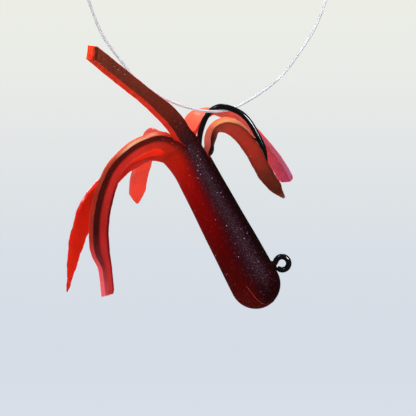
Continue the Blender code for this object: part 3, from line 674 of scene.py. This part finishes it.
def leg_path(name):
    angle, start, _, _, route, _, _, _ = TENTACLES[name]
    out = around(angle, 1.0, 0.0)
    along = np.array([0.0, 0.0, 1.0])
    mid = around(angle, tube_radius(start) - WALL / 2, start)
    centre = mid + np.array([0, 0, HINGE_GAP + LEG_T / 2])
    points = [mid, centre, centre + 0.5 * along] + [np.array(p, float) for p, _ in route]
    facing = [out, out, out] + [unit(n) for _, n in route]
    if name == "tentacle_left":                    # it flares out as it leaves the tube
        early = [(-2.32, -0.14, 20.26), (-3.02, -0.14, 20.66), (-4.05, -0.08, 21.02),
                 (-5.3, 0.2, 21.28), (-6.5, 0.65, 21.36)]
        turns = [(-0.97, -0.08, -0.20), (-0.62, -0.10, -0.78), (-0.38, -0.14, -0.92),
                 (-0.05, -0.28, -0.96), (0.06, -0.38, -0.92)]
        points = [mid] + [np.array(p) for p in early] + points[7:]
        facing = [out] + [unit(n) for n in turns] + facing[7:]
    if name == "tentacle_left_front":
        early = [(-1.0, -2.08, 20.5), (-1.22, -2.55, 21.1), (-1.72, -3.28, 21.75), (-2.5, -4.0, 22.25), (-3.6, -4.65, 22.5)]
        turns = [(-0.42, -0.90, -0.03), (-0.38, -0.88, -0.15), (-0.32, -0.87, -0.30), (-0.22, -0.84, -0.46), (-0.12, -0.80, -0.60)]
        points = [mid] + [np.array(p) for p in early] + points[6:]
        facing = [out] + [unit(n) for n in turns] + facing[6:]
    if name == "tentacle_front":
        early = [(1.16, -2.02, 20.7), (1.06, -2.80, 21.45), (0.80, -3.80, 22.25)]
        turns = [(0.57, -0.81, -0.03), (0.60, -0.78, -0.10), (0.66, -0.72, -0.15)]
        points = [mid] + [np.array(p) for p in early] + points[4:]
        facing = [out] + [unit(n) for n in turns] + [unit((0.74, -0.64, -0.19)), unit((0.81, -0.55, -0.20))] + facing[6:]
    path = spline_through(points, 0.30)
    if name == "tentacle_front":                   # one even curve from its root
        for _ in range(70):
            path[3:-1] = 0.5 * path[3:-1] + 0.25 * (path[2:-2] + path[4:])
    run = arc_run(path)
    key_run = [run[np.argmin(np.linalg.norm(path - k, axis=1))] for k in points]
    return path, run, key_run, facing, out, along, mid, centre


def build_leg(name, seed):
    angle, start, (near_w, far_w), full_t, route, low_cut, high_cut, slip = TENTACLES[name]
    path, run, key_run, facing, out, along, mid, centre = leg_path(name)
    total = run[-1]
    r_out, r_in = tube_radius(start), tube_radius(start) - WALL
    rng = np.random.RandomState(seed)
    phase = rng.uniform(0, 6.28, 6)

    # root section: the tube's own sixth, in (across, outwards) from its middle
    th = angle - 30 + 60.0 / PER * np.arange(PER + 1)
    zero = np.cross(along, out)                    # towards lower angles
    def root_point(t, r):
        p = around(t, r, start) - mid
        return np.array([np.dot(p, zero), np.dot(p, out)])
    outer_root = [root_point(t, r_out + flare(t, start)) for t in th]
    inner_root = [root_point(t, r_in) for t in th]

    def strip(width, thick, bulge, rc, gone):
        """Outer face from the low-angle edge to the high one, the high cut
        face, the inner face back and the low cut face, with rounded edges."""
        half, h = width / 2, thick / 2
        # +1 is the low-angle side (+across)
        us = np.linspace(1 - 2 * gone[0], -1 + 2 * gone[1], PER + 1)
        def crown(u):
            return -bulge * u * u + bulge / 3
        xs = us * half
        xs[0] -= rc
        xs[-1] += rc
        outer = [np.array([x, h + crown(u)]) for x, u in zip(xs, us)]
        inner = [np.array([x, -h + crown(u)]) for x, u in zip(xs, us)]
        edge = crown(1.0)
        return outer, inner, edge, half, h

    def share(table, from_end):
        table = sorted(table)
        return float(np.interp(from_end, [x for x, _ in table], [y for _, y in table]))

    rings = []
    count = len(path)
    for i, p in enumerate(path):
        d = run[i]
        if i < count - 1 and total - d < slip + 0.2:
            continue
        t = along if i == 0 else unit(path[min(i + 1, count - 1)] - path[max(i - 1, 0)])
        n = np.array([np.interp(d, key_run, [f[k] for f in facing]) for k in range(3)])
        n = unit(n - np.dot(n, t) * t)
        b = np.cross(t, n)                         # towards the lower tube angle
        k = float(smooth(d, 0.0, 3.2))             # root section -> free strip
        width = float(np.interp(d, [0, 4.5, 9, 14, total - 3, total],
                                [2.12, near_w, near_w, far_w, far_w, far_w * 0.94]))
        if name == "tentacle_front":               # the slits end wide of its root
            swell = float(smooth(d, 0.6, 3.0) * (1 - smooth(d, 4.5, 13.0)))
            width += 0.75 * swell
            p = p - 0.22 * swell * b
        thick = float(np.interp(d, [0, 4.5], [LEG_T, full_t])) * 0.97
        gone = (share(low_cut, total - d), share(high_cut, total - d))
        bulge = float(np.interp(d, [0, 5, total], [0.26, 0.12, 0.05]))
        rc = 0.012 + 0.055 * float(smooth(d, 0.5, 4.0))
        outer_s, inner_s, edge, half, h = strip(width, thick, bulge, rc, gone)
        outer = [a * (1 - k) + c * k for a, c in zip(outer_root, outer_s)]
        inner = [a * (1 - k) + c * k for a, c in zip(inner_root, inner_s)]
        # the knife wandered a little along each cut edge
        rag = 1.0 if name == "tentacle_left" else 0.45
        wob = [rag * (0.035 * math.sin(1.9 * d + phase[0]) + 0.022 * math.sin(4.7 * d + phase[1]) + 0.012 * math.sin(11.0 * d + phase[4])),
               rag * (0.035 * math.sin(2.3 * d + phase[2]) + 0.022 * math.sin(5.1 * d + phase[3]) + 0.012 * math.sin(10.0 * d + phase[5]))]
        amp = float(smooth(d, 1.0, 5.0))
        for row in (outer, inner):
            for q in range(PER + 1):
                u = 1 - 2 * q / PER
                row[q] = row[q] + np.array([amp * (wob[0] if u > 0 else wob[1]) * abs(u), 0.0])
        section = []
        us, vs, ts = [], [], []
        def put(q, u, v, theta):
            section.append(q)
            us.append(u)
            vs.append(v)
            ts.append(theta)
        for q in range(PER + 1):                   # outer skin, low angle -> high
            put(outer[q], -(1 - 2 * q / PER), 1.0, th[q])
        o, c = outer[-1], inner[-1]                # the high-angle cut face
        side = -1.0
        for f, push, v in ((rc * 0.30, 0.71, 0.9), (rc, 1.0, 0.6), (0.33, 1.0, 0.3), (0.66, 1.0, -0.3), (1 - rc, 1.0, -0.6), (1 - rc * 0.30, 0.71, -0.9)):
            q = o * (1 - f) + c * f
            put(q + np.array([side * rc * push * k, 0]), 1.0, v, th[-1])
        for q in range(PER, -1, -1):               # inner face back
            put(inner[q], -(1 - 2 * q / PER), -1.0, th[q])
        o, c = outer[0], inner[0]                  # the low-angle cut face
        for f, push, v in ((1 - rc * 0.30, 0.71, -0.9), (1 - rc, 1.0, -0.6), (0.66, 1.0, -0.3), (0.33, 1.0, 0.3), (rc, 1.0, 0.6), (rc * 0.30, 0.71, 0.9)):
            q = o * (1 - f) + c * f
            put(q + np.array([rc * push * k, 0]), -1.0, v, th[0])
        last = i == count - 1
        pts = []
        for q, u, v in zip(section, us, vs):
            back = slip * (0.5 + 0.5 * v) if last else 0.0
            pts.append(p + q[0] * b + q[1] * n - back * t)
        if last:
            # a fine bevel where the end was cut
            mid_end = np.mean(pts, axis=0)
            pre = [x - 0.05 * t for x in pts]
            rings.append((d - 0.05, pre, us, vs, ts))
            pts = [x + (mid_end - x) * 0.045 for x in pts]
        rings.append((d, pts, us, vs, ts))

    m = len(rings[0][1])
    verts = [q for _, pts, *_ in rings for q in pts]
    D = np.array([d for d, pts, *_ in rings for _ in pts])
    U = np.array([u for _, _, us, _, _ in rings for u in us])
    V = np.array([v for _, _, _, vs, _ in rings for v in vs])
    T = np.array([t for *_, ts in rings for t in ts])
    faces = []
    for i in range(len(rings) - 1):
        for k in range(m):
            j = (k + 1) % m
            faces.append((i * m + k, (i + 1) * m + k, (i + 1) * m + j, i * m + j))
    # the cut end, with two rings so that its colour can follow the skin
    base = (len(rings) - 1) * m
    mid_end = np.mean(verts[base:], axis=0)
    ring_in = []
    for k in range(m):
        verts.append(verts[base + k] + (mid_end - verts[base + k]) * 0.35)
        ring_in.append(len(verts) - 1)
    verts.append(mid_end)
    hub = len(verts) - 1
    for k in range(m):
        j = (k + 1) % m
        faces.append((base + k, ring_in[k], ring_in[j], base + j))
        faces.append((ring_in[k], hub, ring_in[j]))
    D = np.concatenate([D, np.full(m + 1, total)])
    U = np.concatenate([U, np.array(rings[-1][2]) * 0.65, [0]])
    V = np.concatenate([V, np.array(rings[-1][3]) * 0.65, [0]])
    T = np.concatenate([T, rings[-1][4], [angle]])
    colour, glitter = leg_look(name, U, V, D, total, T)
    end = slice(base, len(verts))
    if name == "tentacle_front":
        e = mix(lin("#d83a1c"), lin("#4a1a14"), smooth(V[end], -0.1, 0.5))
        colour[end] = e
    P = np.array(verts)
    obj = add_mesh(name + "_strip", w(P), faces, colour, 42.0, {"glitter": glitter})

    # a direction in which the free length lies past the hinge and the root before it
    root = P[D <= 0.001]
    free = P[D >= 2.6]
    best = (-1e9, None)
    for i in range(1500):
        z = 1 - 2 * (i + 0.5) / 1500
        a = i * 2.399963229728653
        s = math.sqrt(1 - z * z)
        q = np.array([s * math.cos(a), s * math.sin(a), z])
        gap = (free @ q).min() - (root @ q).max()
        if gap > best[0]:
            best = (gap, q)
    gap, q = best
    s0, s1 = (root @ q).max(), (free @ q).min()
    if gap < 0.5:
        mid_s = (s0 + s1) / 2
        s0, s1 = mid_s - 0.25, mid_s + 0.25
    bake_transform(obj)
    print("blend %s gap %.2f direction %s" % (name, gap, np.round(q, 2)))
    return obj


# -------------------------------------------------------------------- the hook
def hook_point(out, along):
    return around(HOOK_ANGLE, out, along)


def hook_path():
    cu, ca = EYE_CENTRE
    eye = []
    for deg in np.arange(-12, -320, -8.0):
        t = math.radians(deg)
        eye.append((cu - EYE_R * math.cos(t), ca + EYE_R * math.sin(t)))
    neck = [(3.42, 1.20), (2.9, 1.06), (2.2, 1.02), (1.4, 1.02)]
    corner = [(0.75, 1.10), (0.38, 1.35), (0.18, 1.80), (0.15, 2.6), (0.20, 4.2)]
    first = spline_through(eye + neck + corner + HOOK_ROUTE, 0.13)
    return np.array([hook_point(u, a) for u, a in first])


def build_hook():
    path = hook_path()
    run = arc_run(path)
    left = run[-1] - run
    radii = 1.05 * WIRE_R * np.clip(0.03 + 0.97 * (left / POINT_LENGTH) ** 0.80, 0.03, 1.0)
    # round the sheared free end of the eye
    for i in range(4):
        radii[i] = min(radii[i], WIRE_R * (0.80, 0.92, 0.98, 1.0)[i])
    verts, faces = swept(path, radii, 22)
    verts = [np.array(v) for v in verts]
    # the barb: a sliver lifted off the wire's inner side, tapering to a point
    tip, foot = hook_point(*BARB_TIP), hook_point(*BARB_FOOT)
    axis = unit(tip - foot)
    side = np.cross(axis, around(HOOK_ANGLE, 1.0, 0.0))
    side = unit(side)
    up = np.cross(side, axis)
    length = np.linalg.norm(tip - foot)
    base = len(verts)
    steps, sides = 9, 14
    for i in range(steps):
        f = i / (steps - 1)
        c = foot + axis * length * f
        rw = 0.27 * (1 - f) ** 0.75 + 0.012
        rh = 0.16 * (1 - f) ** 0.9 + 0.010
        for k in range(sides):
            a = 2 * math.pi * k / sides
            verts.append(c + rw * math.cos(a) * side + rh * math.sin(a) * up)
    for i in range(steps - 1):
        for k in range(sides):
            j = (k + 1) % sides
            faces.append((base + i * sides + k, base + (i + 1) * sides + k, base + (i + 1) * sides + j, base + i * sides + j))
    verts.append(foot); verts.append(tip)
    for k in range(sides):
        j = (k + 1) % sides
        faces.append((len(verts) - 2, base + k, base + j))
        faces.append((len(verts) - 1, base + (steps - 1) * sides + j, base + (steps - 1) * sides + k))
    obj = add_mesh("hook_wire", w(np.array(verts)), faces, None, 50.0)
    bm = bmesh.new()
    bm.from_mesh(obj.data)
    bmesh.ops.recalc_face_normals(bm, faces=bm.faces)
    bm.to_mesh(obj.data)
    bm.free()
    return obj


def build_lip():
    """The soft skin stands up in a small collar round the wire of the eye."""
    r = tube_radius(1.1)
    here = np.array([hook_point(r - 0.20, 1.03)])[0]
    out = around(HOOK_ANGLE, 1.0, 0.0)
    side = np.cross(out, [0, 0, 1.0])
    up = np.cross(side, out)
    profile = [(1.05, -0.12), (0.86, 0.12), (0.66, 0.30), (0.52, 0.44), (0.43, 0.50), (0.375, 0.46), (0.352, 0.36), (0.345, 0.05)]
    n = 32
    verts, faces = [], []
    for rr, hh in profile:
        for k in range(n):
            a = 2 * math.pi * k / n
            wob = 1 + 0.06 * math.sin(3 * a + 0.6) + 0.04 * math.sin(5 * a)
            ra = rr * (wob if rr > 0.4 else 1)
            p = here + out * hh + ra * (math.cos(a) * side + math.sin(a) * up)
            if rr > 0.9:               # the foot lies in the skin of the tube
                q = math.hypot(p[0], p[1])
                p[:2] *= (tube_radius(p[2]) - 0.05) / q
            verts.append(p)
    for i in range(len(profile) - 1):
        for k in range(n):
            j = (k + 1) % n
            faces.append((i * n + k, (i + 1) * n + k, (i + 1) * n + j, i * n + j))
    P = np.array(verts)
    col = np.tile(lin("#1c0608"), (len(P), 1))
    obj = add_mesh("neck_collar", w(P), faces, col, 60.0, {"glitter": np.full(len(P), 0.05)})
    bm = bmesh.new()
    bm.from_mesh(obj.data)
    bmesh.ops.recalc_face_normals(bm, faces=bm.faces)
    bm.to_mesh(obj.data)
    bm.free()
    return obj


def build_seam():
    """The fine parting line that the mould left round the nose."""
    around_nose = [(-1.55, -2.85, 0.25), (-0.98, -3.05, -0.52), (-0.25, -2.89, -1.45), (0.88, -1.95, -2.45),
                   (1.80, -1.00, -2.52), (2.45, 0.20, -2.13), (2.60, 1.30, -1.45), (2.35, 2.15, -0.60)]
    r0 = tube_radius(0)
    path = spline_through([np.array(p) * (r0 / np.linalg.norm(p)) for p in around_nose], 0.12)
    path = path / np.linalg.norm(path, axis=1)[:, None] * (r0 - 0.008)
    ends = np.minimum(np.arange(len(path)), np.arange(len(path))[::-1])
    radii = 0.030 * np.clip((ends + 1) / 8.0, 0.1, 1.0)
    verts, faces = swept(path, radii, 8)
    P = np.array(verts)                            # world offsets from the nose's centre
    col = np.tile(lin("#b0382a"), (len(P), 1))
    return add_mesh("mould_line", (ORIGIN + P) * MM, faces, col, 60.0, {"glitter": np.zeros(len(P))})


# -------------------------------------------------------------------- the line
def build_line():
    pts = spline_through(LINE_ROUTE, 0.45)
    for _ in range(14):                            # an even curve, ends held
        pts[1:-1] = 0.5 * pts[1:-1] + 0.25 * (pts[:-2] + pts[2:])
    data = bpy.data.curves.new("hanging_line", "CURVE")
    data.dimensions = "3D"
    data.bevel_depth = LINE_D / 2 * MM
    data.bevel_resolution = 4
    data.use_fill_caps = True
    sp = data.splines.new("POLY")
    sp.points.add(len(pts) - 1)
    for i, p in enumerate(pts):
        sp.points[i].co = (*(p * MM), 1.0)
    sp.use_smooth = True
    obj = bpy.data.objects.new("hanging_line", data)
    bpy.context.scene.collection.objects.link(obj)
    return obj, pts, float(arc_run(pts)[-1]) * MM


def build_knot(name, end, before):
    """A barrel knot: four close turns of the line and its trimmed tag end."""
    axis = unit(end - before)
    side = unit(np.cross(axis, [0, 1.0, 0.2]))
    up = np.cross(side, axis)
    start = end + axis * 0.10
    path = [end - axis * 0.10, start]
    turns, steps = 3.4, 22
    rr = KNOT_R - LINE_D / 2 - 0.02
    for i in range(int(turns * steps) + 1):
        a = 2 * math.pi * i / steps
        grow = min(1.0, i / 10.0)
        path.append(start + axis * (0.08 + 0.29 * i / steps) + rr * grow * (math.cos(a) * side + math.sin(a) * up))
    lastp = path[-1]
    path.append(lastp + axis * 0.12 - 0.3 * rr * unit(lastp - start - axis * np.dot(lastp - start, axis)))
    path = np.array(path)
    fine = spline_through(path, 0.07)
    verts, faces = swept(fine, np.full(len(fine), LINE_D / 2 * 0.93), 10)
    return add_mesh(name, np.array(verts) * MM, faces, None, 60.0)


# ------------------------------------------------------------------ assembly
line, line_pts, line_length = build_line()
knot_l = build_knot("knot_left", line_pts[0], line_pts[1])
knot_r = build_knot("knot_right", line_pts[-1], line_pts[-2])
clear = monofilament()
for piece, cad in ((line, "fishing_line"), (knot_l, "line_knot_left"), (knot_r, "line_knot_right")):
    piece.data.materials.append(clear)
    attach(piece, "lure")
    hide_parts(cad)

tube = build_tube()
skin = plastisol("plastisol_body", roughness=0.40, coat=0.0, sss=0.25, specular=0.03, bump=0.10)
tube.data.materials.append(skin)
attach(tube, "lure")
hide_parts("tube_body")

lip = build_lip()
lip.data.materials.append(skin)
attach(lip, "lure")

seam = build_seam()
seam.data.materials.append(skin)
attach(seam, "lure")

leg_skin = plastisol("plastisol_strip", roughness=0.20, coat=0.05, sss=0.60, specular=0.10, bump=0.08, reach=0.0011)
for number, leg in enumerate(TENTACLES):
    piece = build_leg(leg, 11 + number)
    piece.data.materials.append(leg_skin)
    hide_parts(leg)

hook = build_hook()
hook.data.materials.append(black_nickel())
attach(hook, "lure")
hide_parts("jig_hook")

head = bpy.data.objects["jig_head"]
head_mat = cast_lead()
if head.material_slots:
    for s in head.material_slots:
        s.material = head_mat
else:
    head.data.materials.append(head_mat)

# ---------------------------------------------------------------- the studio
floor_mesh = bpy.data.meshes.new("floor")
bm = bmesh.new()
bmesh.ops.create_circle(bm, cap_ends=True, segments=96, radius=1.2)
bm.to_mesh(floor_mesh)
bm.free()
floor = bpy.data.objects.new("floor", floor_mesh)
floor.location = (0, 0, -0.42)
bpy.context.scene.collection.objects.link(floor)
fm, nt, bsdf = nodes_of("pale_floor")
bsdf.inputs["Base Color"].default_value = (0.78, 0.80, 0.83, 1)
bsdf.inputs["Roughness"].default_value = 0.7
bsdf.inputs["Specular IOR Level"].default_value = 0.2
floor.data.materials.append(fm)
floor.visible_glossy = False

world = bpy.data.worlds.new("studio")
bpy.context.scene.world = world
world.use_nodes = True
nt = world.node_tree
bg = nt.nodes["Background"]
coord = node(nt, "ShaderNodeTexCoord")
sep = node(nt, "ShaderNodeSeparateXYZ")
link(nt, coord.outputs["Generated"], sep.inputs[0])
height = remap(nt, sep.outputs["Z"], -0.120, 0.120)
cr = node(nt, "ShaderNodeValToRGB")
cr.color_ramp.elements[0].position = 0.0
cr.color_ramp.elements[0].color = (*lin("#d9dfe9"), 1)
cr.color_ramp.elements[1].position = 1.0
cr.color_ramp.elements[1].color = (*lin("#eceee6"), 1)
for pos, col in ((0.16, "#d6dce6"), (0.40, "#d9dfe6"), (0.62, "#e1e5e6"), (0.82, "#e9ebe7")):
    e = cr.color_ramp.elements.new(pos)
    e.color = (*lin(col), 1)
link(nt, height, cr.inputs[0])
link(nt, cr.outputs[0], bg.inputs["Color"])
bg.inputs["Strength"].default_value = 1.0
soft = node(nt, "ShaderNodeBackground")
soft.inputs["Color"].default_value = (0.80, 0.83, 0.88, 1)
soft.inputs["Strength"].default_value = 0.62
path = node(nt, "ShaderNodeLightPath")
mx = node(nt, "ShaderNodeMixShader")
gloss = node(nt, "ShaderNodeBackground")
gloss.inputs["Color"].default_value = (0.80, 0.83, 0.88, 1)
gloss.inputs["Strength"].default_value = 0.08
mg = node(nt, "ShaderNodeMixShader")
link(nt, path.outputs["Is Glossy Ray"], mg.inputs[0])
link(nt, soft.outputs[0], mg.inputs[1])
link(nt, gloss.outputs[0], mg.inputs[2])
seen = math_node(nt, "MAXIMUM", path.outputs["Is Camera Ray"], path.outputs["Is Transmission Ray"])
seen = math_node(nt, "MAXIMUM", seen, math_node(nt, "GREATER_THAN", path.outputs["Transmission Depth"], 0.5))
link(nt, seen, mx.inputs[0])
link(nt, mg.outputs[0], mx.inputs[1])
link(nt, bg.outputs[0], mx.inputs[2])
link(nt, mx.outputs[0], nt.nodes["World Output"].inputs["Surface"])


def area(name, at, aim, size, power, colour=(1, 1, 1), size_y=None):
    data = bpy.data.lights.new(name, "AREA")
    data.shape = "RECTANGLE"
    data.size = size
    data.size_y = size_y or size
    data.energy = power
    data.color = colour
    obj = bpy.data.objects.new(name, data)
    obj.location = at
    obj.rotation_euler = (Vector(aim) - Vector(at)).to_track_quat("-Z", "Y").to_euler()
    obj.visible_camera = False
    obj.visible_transmission = False
    bpy.context.scene.collection.objects.link(obj)
    return obj


back = area("back_panel", (-0.05, 0.75, 0.05), (0, 0, -0.01), 0.9, 13.0, (1.0, 0.99, 0.96))
back.visible_glossy = False
top = area("top_box", (0.12, -0.10, 0.55), (0, 0, -0.01), 0.50, 4.0, (1.0, 0.985, 0.96))
top.visible_glossy = False
key = area("key", (-0.30, -0.45, 0.38), (0, 0, -0.015), 0.26, 2.4, (0.97, 0.98, 1.0))
key.visible_glossy = False
# small bright lights that show only in the gloss
for number, (at, size, power) in enumerate((((0.28, -0.45, 0.28), 0.20, 2.6), ((0.02, 0.28, 0.52), 0.10, 0.40),
                                            ((-0.34, 0.42, 0.26), 0.16, 0.80), ((-0.34, -0.36, 0.34), 0.09, 0.22))):
    glint = area("glint_%d" % (number + 1), at, (0, 0, -0.005), size, power, (0.97, 0.98, 1.0))
    glint.visible_diffuse = False
